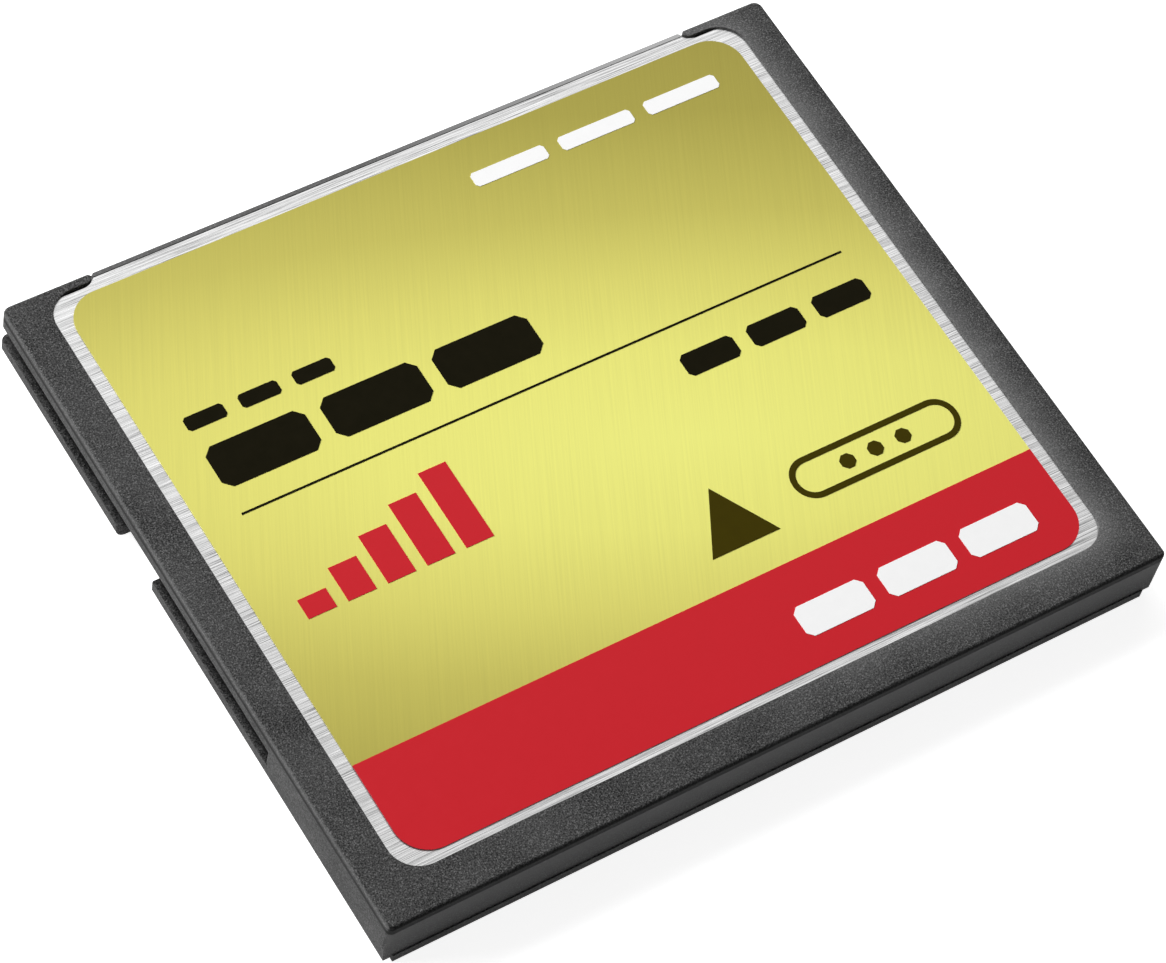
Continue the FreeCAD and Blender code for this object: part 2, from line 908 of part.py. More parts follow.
def make_connector_housing():
    body = new_body("connector_housing")
    block(body, "housing", (-header_half, header_half), (header_rear, header_nose),
          (floor_panel_top, top_panel_bottom))
    low = body_bottom + s.flange_reveal
    high = body_top - s.flange_reveal
    outline = draw(body, "flange_outline", "XY_Plane", [flange_loop()], low)
    pad(body, "flange", outline, high - low)
    for side in (-1, 1):
        name = "left" if side < 0 else "right"
        outline = draw(body, f"{name}_tongue_outline", "XY_Plane", [tongue_loop(side, 0)],
                       floor_panel_top)
        pad(body, f"{name}_tongue", outline, frame_top - floor_panel_top)

    # one chamber and one pin hole for each row, repeated along the rows
    cuts = []
    for name, middle in (("upper", upper_row), ("lower", lower_row)):
        left = first_pin - s.chamber_width / 2
        low = middle - s.chamber_height / 2
        chamber = box_loop(left, low, left + s.chamber_width, low + s.chamber_height)
        sketch = draw(body, f"{name}_chamber_outline", "XZ_Plane", [chamber],
                      s.pin_hole_depth - header_nose)
        depth = s.header_depth - s.pin_hole_depth
        cuts.append(pocket(body, f"{name}_chamber", sketch, depth, along_normal=True))
        hole = pin_loop(middle, s.pin_hole)
        sketch = draw(body, f"{name}_hole_outline", "XZ_Plane", [hole], -header_nose)
        cuts.append(pocket(body, f"{name}_hole", sketch, s.pin_hole_depth, along_normal=True))
        mouth = pin_loop(middle, s.pin_hole + 2 * s.pin_lead_in)
        sketch = draw(body, f"{name}_mouth_outline", "XZ_Plane", [mouth], -header_nose)
        lead_in = pocket(body, f"{name}_mouth", sketch, s.pin_lead_in, along_normal=True)
        lead_in.TaperAngle = -45
        cuts.append(lead_in)
    row(body, "pin_rows", cuts, s.pin_pitch, pin_count)
    return body


def fork_loop(middle, board_side):
    """A stamped fork contact from the side: two beams, a base and a tail.

    The sketch runs along the card and up. board_side is 1 where the board's
    face is below the row, and -1 where it is above.
    """
    base_nose = header_rear + s.contact_base
    tip = base_nose + s.beam_length
    half = s.chamber_height / 2
    grip = s.beam_gap / 2
    beam = grip + s.beam_thick
    foot_face = board_top if board_side > 0 else s.board_level
    foot_back = foot_face + board_side * s.tail_thick
    tail_in = middle - board_side * s.tail_thick / 2
    tail_out = middle + board_side * s.tail_thick / 2
    if board_side < 0:
        tail_in = foot_face
        tail_out = foot_back
    bend = header_rear - s.contact_stem
    drop = s.tail_thick
    up = board_side
    return [
        corner(header_rear, middle - up * half),
        corner(base_nose, middle - up * half),
        corner(tip, middle - up * beam),
        corner(tip, middle - up * grip),
        corner(base_nose, middle - up * (grip + s.beam_thick / 2)),
        corner(base_nose, middle + up * (grip + s.beam_thick / 2)),
        corner(tip, middle + up * grip),
        corner(tip, middle + up * beam),
        corner(base_nose, middle + up * half),
        corner(header_rear, middle + up * half),
        corner(header_rear, tail_out),
        corner(bend + drop, tail_out),
        corner(bend - drop, foot_back),
        corner(contact_foot_end, foot_back),
        corner(contact_foot_end, foot_face),
        corner(bend, foot_face),
        corner(bend + 2 * drop, tail_in),
        corner(header_rear, tail_in),
    ]


def straight_fork_loop(middle):
    """The lower contact, whose tail runs straight under the board."""
    outline = fork_loop(middle, -1)
    low = s.board_level - s.tail_thick
    return outline[:10] + [
        corner(header_rear, low),
        corner(contact_foot_end, low),
        corner(contact_foot_end, s.board_level),
        corner(header_rear, s.board_level),
    ]


def make_contacts(label, loop):
    body = new_body(label)
    sketch = draw(body, "fork_outline", "YZ_Plane", [loop], first_pin - s.contact_thick / 2)
    fork = pad(body, "fork", sketch, s.contact_thick)
    row(body, "fork_row", [fork], s.pin_pitch, pin_count)
    return body


# Board and what it carries

def make_circuit_board():
    body = new_body("circuit_board")
    cut = s.board_chamfer
    loop = mirror_loop([
        corner(board_half - cut, board_tail),
        corner(board_half, board_tail + cut),
        corner(board_half, board_nose - cut),
        corner(board_half - cut, board_nose),
    ])
    outline = draw(body, "board_outline", "XY_Plane", [loop], s.board_level)
    pad(body, "board", outline, s.board_thick)
    return body


flash_left_middle = -board_half + s.flash_edge + s.flash_width / 2
flash_right_middle = flash_left_middle + s.flash_width + s.flash_gap
flash_tail = board_tail + s.flash_tail_gap + s.flash_lead_reach
flash_nose = flash_tail + s.flash_length
power_left = flash_right_middle + s.flash_width / 2 + s.power_lane / 2


def lead_loop(edge, outward, waist, reach, thick, foot):
    """A lead from the side: down from a package edge to a flat foot on the board."""
    ankle = edge + outward * reach * ANKLE_PLACE
    toe = edge + outward * reach
    return [
        corner(edge, waist),
        corner(ankle, foot + thick),
        corner(toe, foot + thick),
        corner(toe, foot),
        corner(ankle - outward * thick, foot),
        corner(edge, waist - thick),
    ]


def make_flash_chip(label, middle):
    """A thin package with rows of leads on its two short sides."""
    body = new_body(label)
    low = board_top + s.flash_standoff
    high = low + s.flash_thick
    package = block(body, "package", span(middle, s.flash_width), (flash_tail, flash_nose),
                    (low, high))
    leads = []
    first = middle - s.flash_lead_pitch * (s.flash_leads - 1) / 2 - s.flash_lead_width / 2
    for name, edge, outward in (("nose", flash_nose, 1), ("tail", flash_tail, -1)):
        loop = lead_loop(edge, outward, low + s.flash_thick / 2, s.flash_lead_reach,
                         s.flash_lead_thick, board_top)
        sketch = draw(body, f"{name}_lead_outline", "YZ_Plane", [loop], first)
        leads.append(pad(body, f"{name}_lead", sketch, s.flash_lead_width))
    row(body, "lead_rows", leads, s.flash_lead_pitch, s.flash_leads)
    return body


def make_controller_chip():
    body = new_body("controller_chip")
    high = s.board_level
    low = high - s.controller_thick
    middle_x = flash_left_middle
    middle_y = flash_nose - s.controller_side / 2
    block(body, "package", span(middle_x, s.controller_side),
          span(middle_y, s.controller_side), (low, high))
    mark_x = middle_x - s.controller_side / 2 + 1.5 * s.controller_mark
    mark_y = middle_y - s.controller_side / 2 + 1.5 * s.controller_mark
    sides = span(mark_x, s.controller_mark) + span(mark_y, s.controller_mark)
    loop = clipped_box_loop(sides[0], sides[2], sides[1], sides[3],
                            s.controller_mark * DOT_CLIP)
    mark = draw(body, "mark_outline", "XY_Plane", [loop], low)
    pocket(body, "pin_one_mark", mark, s.mark_depth, along_normal=True)
    return body


def make_crystal():
    body = new_body("crystal")
    high = s.board_level
    seam = high - s.crystal_base
    low = high - s.crystal_thick
    middle_x = flash_right_middle
    middle_y = flash_nose - s.crystal_width
    block(body, "ceramic_base", span(middle_x, s.crystal_length),
          span(middle_y, s.crystal_width), (seam, high))
    block(body, "metal_lid", span(middle_x, s.crystal_length - 2 * s.crystal_rim),
          span(middle_y, s.crystal_width - 2 * s.crystal_rim), (low, seam))
    return body


def make_small_package(label, y_low, length, width, thick, side_leads):
    """A small package beside the flash chips, with gull-wing leads.

    side_leads gives, for each long side, the places of its leads in lead
    pitches from the middle.
    """
    body = new_body(label)
    left = power_left + s.small_lead_reach
    low = board_top + s.flash_standoff
    block(body, "package", (left, left + width), (y_low, y_low + length), (low, low + thick))
    for outward, places in side_leads:
        edge = left if outward < 0 else left + width
        loop = lead_loop(edge, outward, low + thick / 2, s.small_lead_reach,
                         s.small_lead_thick, board_top)
        for place in places:
            middle = y_low + length / 2 + place * s.small_lead_pitch
            level = -(middle + s.small_lead_width / 2)
            name = f"lead_{'left' if outward < 0 else 'right'}_{place + 2}"
            sketch = draw(body, f"{name}_outline", "XZ_Plane", [loop], level)
            pad(body, name, sketch, s.small_lead_width)
    return body


power_rows = {}


def plan_power_rows():
    """Places along the card for the parts beside the flash chips."""
    place = flash_tail
    for name, length in (
        ("power_inductor", s.inductor_side),
        ("voltage_regulator", s.regulator_length),
        ("bulk_capacitors", 2 * s.tantalum_width + s.capacitor_width),
        ("reset_chip", s.reset_length),
    ):
        power_rows[name] = place
        place = place + length + s.flash_gap
    return place


def make_power_inductor():
    body = new_body("power_inductor")
    low = power_rows["power_inductor"]
    block(body, "base", (power_left, power_left + s.inductor_side),
          (low, low + s.inductor_side), (board_top, board_top + s.inductor_thick / 4))
    loop = clipped_box_loop(power_left, low, power_left + s.inductor_side,
                            low + s.inductor_side, s.inductor_corner)
    outline = draw(body, "core_outline", "XY_Plane", [loop], board_top + s.inductor_thick / 4)
    pad(body, "core", outline, s.inductor_thick * 3 / 4)
    return body


def make_bulk_capacitors():
    """Two moulded capacitors side by side, each with a tab at both ends."""
    body = new_body("bulk_capacitors")
    low = power_rows["bulk_capacitors"]
    tab = s.capacitor_cap
    lift = s.small_lead_thick
    case = block(body, "case", (power_left + tab, power_left + tab + s.tantalum_length),
                 (low, low + s.tantalum_width), (board_top + lift, board_top + s.tantalum_thick))
    tab_sides = span(low + s.tantalum_width / 2, s.tantalum_tab * 2)
    tabs = block(body, "tabs", (power_left, power_left + s.tantalum_length + 2 * tab),
                 tab_sides, (board_top, board_top + s.tantalum_thick / 2))
    row(body, "pair", [case, tabs], s.tantalum_width + s.capacitor_width, as_size(2), "Y_Axis")
    return body


def make_decoupling_capacitors():
    """A row of chip capacitors under the board, behind the socket."""
    body = new_body("decoupling_capacitors")
    high = s.board_level
    low = high - s.capacitor_thick
    left = -s.capacitor_pitch * (s.capacitor_count - 1) / 2 - s.capacitor_length / 2
    middle = board_nose - s.foot_length - s.array_width - s.flash_gap
    sides = span(middle, s.capacitor_width)
    thin = s.capacitor_width - 2 * s.fit_gap
    ceramic = block(body, "ceramic", (left, left + s.capacitor_length), span(middle, thin),
                    (low + s.fit_gap, high))
    first = block(body, "left_cap", (left, left + s.capacitor_cap), sides, (low, high))
    far = left + s.capacitor_length
    second = block(body, "right_cap", (far - s.capacitor_cap, far), sides, (low, high))
    row(body, "capacitor_row", [ceramic, first, second], s.capacitor_pitch, s.capacitor_count)
    return body


def make_resistor_arrays():
    """A row of four-way resistor arrays on top, between the contacts and the chips."""
    body = new_body("resistor_arrays")
    high = board_top + s.array_thick
    left = -s.array_pitch * (s.array_count - 1) / 2 - s.array_length / 2
    middle = contact_foot_end - s.array_gap - s.array_width / 2
    originals = [
        block(body, "ceramic", (left, left + s.array_length), span(middle, s.array_width),
              (board_top, high))
    ]
    for number in range(4):
        land = left + s.array_length / 2 + (number - 1.5) * s.array_land_pitch
        originals.append(
            block(body, f"land_{number + 1}", span(land, s.array_land),
                  span(middle, s.array_width + 4 * s.fit_gap), (board_top, high - s.fit_gap))
        )
    row(body, "array_row", originals, s.array_pitch, s.array_count)
    return body


def make_film(label, half, tail, nose, low, cut):
    """An insulating film with clipped corners that lines the inside of a panel."""
    body = new_body(label)
    loop = clipped_box_loop(-half, tail, half, nose, cut)
    outline = draw(body, "film_outline", "XY_Plane", [loop], low)
    pad(body, "film", outline, s.film_thick)
    return body


# Build

plan_power_rows()
ledge_half = cavity_half - s.ledge_width - s.fit_gap
ledge_tail = cavity_tail + s.ledge_width + s.fit_gap
film_half = window_half - s.fit_gap
film_tail = window_tail + s.fit_gap

bodies = [
    make_main_frame(),
    make_top_frame(),
    make_top_panel(),
    make_bottom_panel(),
    make_front_label(),
    make_red_print(),
    make_black_print(),
    make_olive_print(),
    make_white_print(),
    make_connector_housing(),
    make_contacts("socket_contacts_upper", fork_loop(upper_row, 1)),
    make_contacts("socket_contacts_lower", straight_fork_loop(lower_row)),
    make_circuit_board(),
    make_flash_chip("flash_chip_left", flash_left_middle),
    make_flash_chip("flash_chip_right", flash_right_middle),
    make_controller_chip(),
    make_crystal(),
    make_small_package("voltage_regulator", power_rows["voltage_regulator"],
                       s.regulator_length, s.regulator_width, s.regulator_thick,
                       ((-1, (-1, 0, 1)), (1, (-1, 1)))),
    make_power_inductor(),
    make_bulk_capacitors(),
    make_small_package("reset_chip", power_rows["reset_chip"],
                       s.reset_length, s.reset_width, s.reset_thick,
                       ((-1, (-1, 1)), (1, (0,)))),
    make_decoupling_capacitors(),
    make_resistor_arrays(),
    make_film("top_insulator", film_half, film_tail, board_nose, frame_top, s.panel_round),
    make_film("bottom_insulator", ledge_half, ledge_tail, board_nose, floor_panel_top,
              s.window_round),
]

doc.recompute()

for item in doc.Objects:
    if "Invalid" in item.State or "Error" in item.State:
        raise RuntimeError(f"{item.Label} did not compute: {item.State}")
for body in bodies:
    if body.Shape.isNull() or not body.Shape.isValid():
        raise RuntimeError(f"{body.Label} has no valid shape")

os.makedirs("parts", exist_ok=True)
for body in bodies:
    body.Shape.exportStep(f"parts/{body.Label}.step")
    print(body.Label, len(body.Shape.Solids), round(body.Shape.Volume, 3))
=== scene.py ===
from collections import namedtuple
import math

import bpy
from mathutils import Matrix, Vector

# Looks for the compact flash card. Metres, label up, socket edge towards +Y.

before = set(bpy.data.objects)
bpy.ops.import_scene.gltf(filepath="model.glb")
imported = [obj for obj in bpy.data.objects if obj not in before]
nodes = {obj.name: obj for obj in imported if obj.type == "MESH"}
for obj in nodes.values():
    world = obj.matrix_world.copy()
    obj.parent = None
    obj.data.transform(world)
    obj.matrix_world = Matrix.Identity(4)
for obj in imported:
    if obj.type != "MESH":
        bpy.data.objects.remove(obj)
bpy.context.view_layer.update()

MM = 0.001
WHITE = (1.0, 1.0, 1.0, 1.0)
BLACK = (0.0, 0.0, 0.0, 1.0)


def grey(value):
    return (value, value, value, 1.0)


# Node helpers

def new_node(tree, kind, **settings):
    """A shader node. Settings name its properties."""
    node = tree.nodes.new(kind)
    for name, value in settings.items():
        setattr(node, name, value)
    return node


def join(tree, source, target):
    tree.links.new(source, target)


def new_material(name, roughness, metallic=0.0, specular=0.5, coat=0.0):
    """A new material, its tree and its shader, which feeds the output."""
    material = bpy.data.materials.new(name)
    material.use_nodes = True
    tree = material.node_tree
    tree.nodes.clear()
    output = new_node(tree, "ShaderNodeOutputMaterial")
    shader = new_node(tree, "ShaderNodeBsdfPrincipled")
    shader.inputs["Roughness"].default_value = roughness
    shader.inputs["Metallic"].default_value = metallic
    shader.inputs["Specular IOR Level"].default_value = specular
    shader.inputs["Coat Weight"].default_value = coat
    shader.inputs["Coat Roughness"].default_value = 0.1
    join(tree, shader.outputs["BSDF"], output.inputs["Surface"])
    return material, tree, shader


def add_group(tree, group, **values):
    """A node of a shared effect. Values name its inputs, with _ for each space."""
    node = new_node(tree, "ShaderNodeGroup", node_tree=group)
    for name, value in values.items():
        node.inputs[name.replace("_", " ")].default_value = value
    return node


def object_point(tree):
    return new_node(tree, "ShaderNodeTexCoord").outputs["Object"]


def add_math(tree, operation, first, second, clamp=False):
    """A sum, a product or the like of two sockets."""
    node = new_node(tree, "ShaderNodeMath", operation=operation, use_clamp=clamp)
    join(tree, first, node.inputs[0])
    join(tree, second, node.inputs[1])
    return node.outputs[0]


def add_ramp(tree, factor, stops):
    """A colour ramp through (place, colour) stops."""
    ramp = new_node(tree, "ShaderNodeValToRGB")
    elements = ramp.color_ramp.elements
    elements[0].position, elements[0].color = stops[0]
    elements[1].position, elements[1].color = stops[-1]
    for place, colour in stops[1:-1]:
        elements.new(place).color = colour
    join(tree, factor, ramp.inputs["Fac"])
    return ramp.outputs["Color"]


def add_range(tree, value, low, high, new_low, new_high):
    """Maps a value from one range to another, and clamps it there."""
    node = new_node(tree, "ShaderNodeMapRange")
    node.inputs["From Min"].default_value = low
    node.inputs["From Max"].default_value = high
    node.inputs["To Min"].default_value = new_low
    node.inputs["To Max"].default_value = new_high
    join(tree, value, node.inputs["Value"])
    return node.outputs["Result"]


def add_mix(tree, factor, first, second, blend="MIX"):
    """Mixes two colours. Each of the three is a socket or a plain value."""
    node = new_node(tree, "ShaderNodeMix", data_type="RGBA", blend_type=blend)
    slots = (node.inputs[0], node.inputs[6], node.inputs[7])
    for slot, source in zip(slots, (factor, first, second)):
        if isinstance(source, bpy.types.NodeSocket):
            join(tree, source, slot)
        else:
            slot.default_value = source
    return node.outputs[2]


def add_bump(tree, shader, height, depth):
    bump = new_node(tree, "ShaderNodeBump")
    bump.inputs["Strength"].default_value = 1.0
    bump.inputs["Distance"].default_value = depth
    join(tree, height, bump.inputs["Height"])
    join(tree, bump.outputs["Normal"], shader.inputs["Normal"])


# Shared effects

# How each part of an effect follows its pattern: low, high, new low, new high
GRAIN_MOTTLE = (0.40, 0.64, 0.0, 0.55)
GRAIN_CLOUD = (0.3, 0.7, 0.0, 0.15)
SPECK_SIZE = (0.20, 0.55, 1.0, 0.0)
SPECK_CHANCE = (0.45, 1.0, 0.0, 1.0)
INK_COVER = (0.35, 0.75, 0.0, 0.35)
INK_ROUGHNESS = (0.3, 0.7, 0.3, 0.42)
CLOUD_SCALE = 350.0
STREAK_SCALE = 0.22


def new_group(name, inputs, outputs):
    """An empty group with named sockets, its input node and its output node."""
    group = bpy.data.node_groups.new(name, "ShaderNodeTree")
    for socket, kind, value in inputs:
        item = group.interface.new_socket(socket, in_out="INPUT", socket_type=kind)
        item.default_value = value
    for socket, kind in outputs:
        group.interface.new_socket(socket, in_out="OUTPUT", socket_type=kind)
    return group, new_node(group, "NodeGroupInput"), new_node(group, "NodeGroupOutput")


def add_noise(tree, point, scale, detail, roughness=0.5):
    """Soft noise at a point. Its scale is a socket or a plain value."""
    noise = new_node(tree, "ShaderNodeTexNoise")
    noise.inputs["Detail"].default_value = detail
    noise.inputs["Roughness"].default_value = roughness
    join(tree, point, noise.inputs["Vector"])
    if isinstance(scale, bpy.types.NodeSocket):
        join(tree, scale, noise.inputs["Scale"])
    else:
        noise.inputs["Scale"].default_value = scale
    return noise.outputs["Fac"]


def make_grain_group():
    """Spark-eroded grain on moulded plastic: a colour, a height and a roughness."""
    group, source, result = new_group(
        "moulded_grain",
        (
            ("Dark", "NodeSocketColor", grey(0.03)),
            ("Light", "NodeSocketColor", grey(0.08)),
            ("Grain Scale", "NodeSocketFloat", 9000.0),
            ("Roughness Low", "NodeSocketFloat", 0.45),
            ("Roughness High", "NodeSocketFloat", 0.65),
        ),
        (
            ("Color", "NodeSocketColor"),
            ("Height", "NodeSocketFloat"),
            ("Roughness", "NodeSocketFloat"),
        ),
    )
    point = object_point(group)
    scale = source.outputs["Grain Scale"]
    grain = add_noise(group, point, scale, detail=3.0, roughness=0.6)
    broad = add_noise(group, point, CLOUD_SCALE, detail=2.0)

    cells = new_node(group, "ShaderNodeTexVoronoi")
    join(group, point, cells.inputs["Vector"])
    join(group, scale, cells.inputs["Scale"])
    chance = new_node(group, "ShaderNodeSeparateColor")
    join(group, cells.outputs["Color"], chance.inputs["Color"])
    specks = add_math(group, "MULTIPLY",
                      add_range(group, cells.outputs["Distance"], *SPECK_SIZE),
                      add_range(group, chance.outputs["Red"], *SPECK_CHANCE))

    mottle = add_range(group, grain, *GRAIN_MOTTLE)
    cloud = add_range(group, broad, *GRAIN_CLOUD)
    shade = add_math(group, "ADD", mottle, specks, clamp=True)
    shade = add_math(group, "ADD", shade, cloud, clamp=True)
    colour = add_mix(group, shade, source.outputs["Dark"], source.outputs["Light"])
    rough = new_node(group, "ShaderNodeMapRange")
    join(group, grain, rough.inputs["Value"])
    rough.inputs["From Min"].default_value = 0.3
    rough.inputs["From Max"].default_value = 0.7
    join(group, source.outputs["Roughness Low"], rough.inputs["To Min"])
    join(group, source.outputs["Roughness High"], rough.inputs["To Max"])

    join(group, colour, result.inputs["Color"])
    join(group, grain, result.inputs["Height"])
    join(group, rough.outputs["Result"], result.inputs["Roughness"])
    return group


def make_brushing_group():
    """Fine parallel lines along X, or along X turned, as on brushed sheet and drawn film."""
    group, source, result = new_group(
        "brushed_lines",
        (
            ("Lines Per Metre", "NodeSocketFloat", 9000.0),
            ("Line Length", "NodeSocketFloat", 60.0),
            ("Turn", "NodeSocketVector", (0.0, 0.0, 0.0)),
        ),
        (
            ("Lines", "NodeSocketFloat"),
            ("Streaks", "NodeSocketFloat"),
        ),
    )
    turned = new_node(group, "ShaderNodeMapping", vector_type="TEXTURE")
    join(group, object_point(group), turned.inputs["Vector"])
    join(group, source.outputs["Turn"], turned.inputs["Rotation"])
    parts = new_node(group, "ShaderNodeSeparateXYZ")
    join(group, turned.outputs["Vector"], parts.inputs["Vector"])
    along = add_math(group, "MULTIPLY", parts.outputs["X"], source.outputs["Line Length"])
    across = add_math(group, "MULTIPLY", parts.outputs["Y"], source.outputs["Lines Per Metre"])
    stretched = new_node(group, "ShaderNodeCombineXYZ")
    join(group, along, stretched.inputs["X"])
    join(group, across, stretched.inputs["Y"])

    lines = add_noise(group, stretched.outputs["Vector"], 1.0, detail=4.0, roughness=0.7)
    streaks = add_noise(group, stretched.outputs["Vector"], STREAK_SCALE, detail=2.0)
    join(group, lines, result.inputs["Lines"])
    join(group, streaks, result.inputs["Streaks"])
    return group


def make_print_group():
    """Screen-printed ink: a faint mottle in its colour and a fine tooth."""
    group, source, result = new_group(
        "printed_ink",
        (
            ("Ink", "NodeSocketColor", BLACK),
            ("Thin", "NodeSocketColor", grey(0.1)),
            ("Mottle Scale", "NodeSocketFloat", 1800.0),
        ),
        (
            ("Color", "NodeSocketColor"),
            ("Height", "NodeSocketFloat"),
            ("Roughness", "NodeSocketFloat"),
        ),
    )
    mottle = add_noise(group, object_point(group), source.outputs["Mottle Scale"], detail=5.0)
    cover = add_range(group, mottle, *INK_COVER)
    colour = add_mix(group, cover, source.outputs["Ink"], source.outputs["Thin"])
    rough = add_range(group, mottle, *INK_ROUGHNESS)
    join(group, colour, result.inputs["Color"])
    join(group, mottle, result.inputs["Height"])
    join(group, rough, result.inputs["Roughness"])
    return group


def make_window_sheen_group():
    """The mask of a painted sheen: how near a point of the border is to the panel's window,
    strongest at one corner.
    """
    group, source, result = new_group(
        "painted_window_sheen",
        (
            ("Middle", "NodeSocketVector", (0.0, 0.0, 0.0)),
            ("Straight Half", "NodeSocketVector", (0.0, 0.0, 0.0)),
            ("Corner", "NodeSocketFloat", 0.001),
            ("Reach", "NodeSocketFloat", 0.001),
            ("Lean", "NodeSocketVector", (0.0, 0.0, 0.0)),
            ("Lean Start", "NodeSocketFloat", 0.0),
            ("Lean End", "NodeSocketFloat", 0.02),
        ),
        (
            ("Mask", "NodeSocketFloat"),
        ),
    )
    point = object_point(group)
    place = point
    for operation, other in (
        ("SUBTRACT", source.outputs["Middle"]),
        ("MULTIPLY", (1.0, 1.0, 0.0)),
        ("ABSOLUTE", None),
        ("SUBTRACT", source.outputs["Straight Half"]),
        ("MAXIMUM", (0.0, 0.0, 0.0)),
    ):
        step = new_node(group, "ShaderNodeVectorMath", operation=operation)
        join(group, place, step.inputs[0])
        if isinstance(other, bpy.types.NodeSocket):
            join(group, other, step.inputs[1])
        elif other is not None:
            step.inputs[1].default_value = other
        place = step.outputs["Vector"]
    length = new_node(group, "ShaderNodeVectorMath", operation="LENGTH")
    join(group, place, length.inputs[0])
    outside = add_math(group, "SUBTRACT", length.outputs["Value"], source.outputs["Corner"])
    near = new_node(group, "ShaderNodeMapRange")
    join(group, outside, near.inputs["Value"])
    join(group, source.outputs["Reach"], near.inputs["From Max"])
    near.inputs["To Min"].default_value = 1.0
    near.inputs["To Max"].default_value = 0.0
    fading = add_math(group, "MULTIPLY", near.outputs["Result"], near.outputs["Result"])

    lean = new_node(group, "ShaderNodeVectorMath", operation="DOT_PRODUCT")
    join(group, point, lean.inputs[0])
    join(group, source.outputs["Lean"], lean.inputs[1])
    weight = new_node(group, "ShaderNodeMapRange", interpolation_type="SMOOTHSTEP")
    join(group, lean.outputs["Value"], weight.inputs["Value"])
    join(group, source.outputs["Lean Start"], weight.inputs["From Min"])
    join(group, source.outputs["Lean End"], weight.inputs["From Max"])
    mask = add_math(group, "MULTIPLY", fading, weight.outputs["Result"])
    join(group, mask, result.inputs["Mask"])
    return group


def make_box_group():
    """How far inside a box a point is: 0 on its outer faces, 1 from its inner faces on."""
    group, source, result = new_group(
        "box_region",
        (
            ("Middle", "NodeSocketVector", (0.0, 0.0, 0.0)),
            ("Outer", "NodeSocketVector", (0.0, 0.0, 0.0)),
            ("Inner", "NodeSocketVector", (0.0, 0.0, 0.0)),
        ),
        (
            ("Mask", "NodeSocketFloat"),
        ),
    )
    offset = new_node(group, "ShaderNodeVectorMath", operation="SUBTRACT")
    join(group, object_point(group), offset.inputs[0])
    join(group, source.outputs["Middle"], offset.inputs[1])
    away = new_node(group, "ShaderNodeVectorMath", operation="ABSOLUTE")
    join(group, offset.outputs["Vector"], away.inputs[0])
    inside = new_node(group, "ShaderNodeMapRange", data_type="FLOAT_VECTOR")
    # The first sockets in use on a range of vectors are its value, its low and its high end
    value, low, high = [socket for socket in inside.inputs if socket.enabled][:3]
    join(group, away.outputs["Vector"], value)
    join(group, source.outputs["Outer"], low)
    join(group, source.outputs["Inner"], high)
    parts = new_node(group, "ShaderNodeSeparateXYZ")
    join(group, inside.outputs["Vector"], parts.inputs["Vector"])
    level = add_math(group, "MULTIPLY", parts.outputs["X"], parts.outputs["Y"])
    mask = add_math(group, "MULTIPLY", level, parts.outputs["Z"])
    join(group, mask, result.inputs["Mask"])
    return group


grain_group = make_grain_group()
window_sheen_group = make_window_sheen_group()
box_group = make_box_group()
brushing_group = make_brushing_group()
print_group = make_print_group()


# Tints: painted shade and painted light, each a colour in a soft box whose strength grows from
# its outer to its inner half size

Tint = namedtuple("Tint", "shade strength middle outer inner")

# Half sizes in millimetres that reach past the whole card
PAST = 30
INNER_PAST = 29

# Painted shade: a black band along the seam between the two mouldings, where the groove falls in
# shade
PARTING_LINE_SHADE = Tint(
    shade=BLACK,
    strength=0.92,
    middle=(0, 0, 3.19),
    outer=(PAST, PAST, 0.18),
    inner=(INNER_PAST, INNER_PAST, 0.09),
)
# Painted highlight: a paler band along the left rim, where its rounded edge catches the light
LEFT_RIM_HIGHLIGHT = Tint(
    shade=grey(0.20),
    strength=0.45,
    middle=(-21.45, 0, 3.53),
    outer=(0.17, PAST, 0.12),
    inner=(0.08, INNER_PAST, 0.05),
)
# Painted shade: the tail's rim darkened, as its rounded edge faces away from the light
TAIL_RIM_SHADE = Tint(
    shade=BLACK,
    strength=0.78,
    middle=(0, -18.25, 3.42),
    outer=(PAST, 0.25, 0.32),
    inner=(INNER_PAST, 0.10, 0.20),
)
# Painted light: the tail wall paler at the top, fading to nothing towards the bottom
TAIL_WALL_LIGHT = Tint(
    shade=grey(0.16),
    strength=0.75,
    middle=(0, -18.3, 2.7),
    outer=(PAST, 0.3, 2.3),
    inner=(INNER_PAST, 0.15, 0.2),
)
# Painted shade: the inside of the guide slots darkened to black
GUIDE_SLOT_SHADE = Tint(
    shade=BLACK,
    strength=0.92,
    middle=(0, 0.1, 1.8),
    outer=(21.3, 18.0, 0.72),
    inner=(20.9, 17.9, 0.66),
)
# Painted reflection: the socket's front strip paler towards the right, as a sheen at a grazing
# angle
SOCKET_STRIP_SHEEN = Tint(
    shade=grey(0.42),
    strength=1.0,
    middle=(20, 18.2, 3.46),
    outer=(22, 1.0, 0.12),
    inner=(5, 0.9, 0.05),
)
# Painted shade at the red stripe's edge: the film under the stripe is coloured dark red, so its
# edge shows dark instead of gold
UNDER_STRIPE_SHADE = Tint(
    shade=(0.16, 0.010, 0.015, 1.0),
    strength=1.0,
    middle=(0, -13.2, 3.5),
    outer=(PAST, 2.86, 1.0),
    inner=(INNER_PAST, 2.84, 0.9),
)


def lay_tint(tree, colour, tint):
    """Turns a colour towards the tint's shade inside its soft box."""
    region = add_group(tree, box_group, Middle=Vector(tint.middle) * MM,
                       Outer=Vector(tint.outer) * MM, Inner=Vector(tint.inner) * MM)
    amount = add_range(tree, region.outputs["Mask"], 0.0, 1.0, 0.0, tint.strength)
    return add_mix(tree, amount, colour, tint.shade)


# Moulded plastics

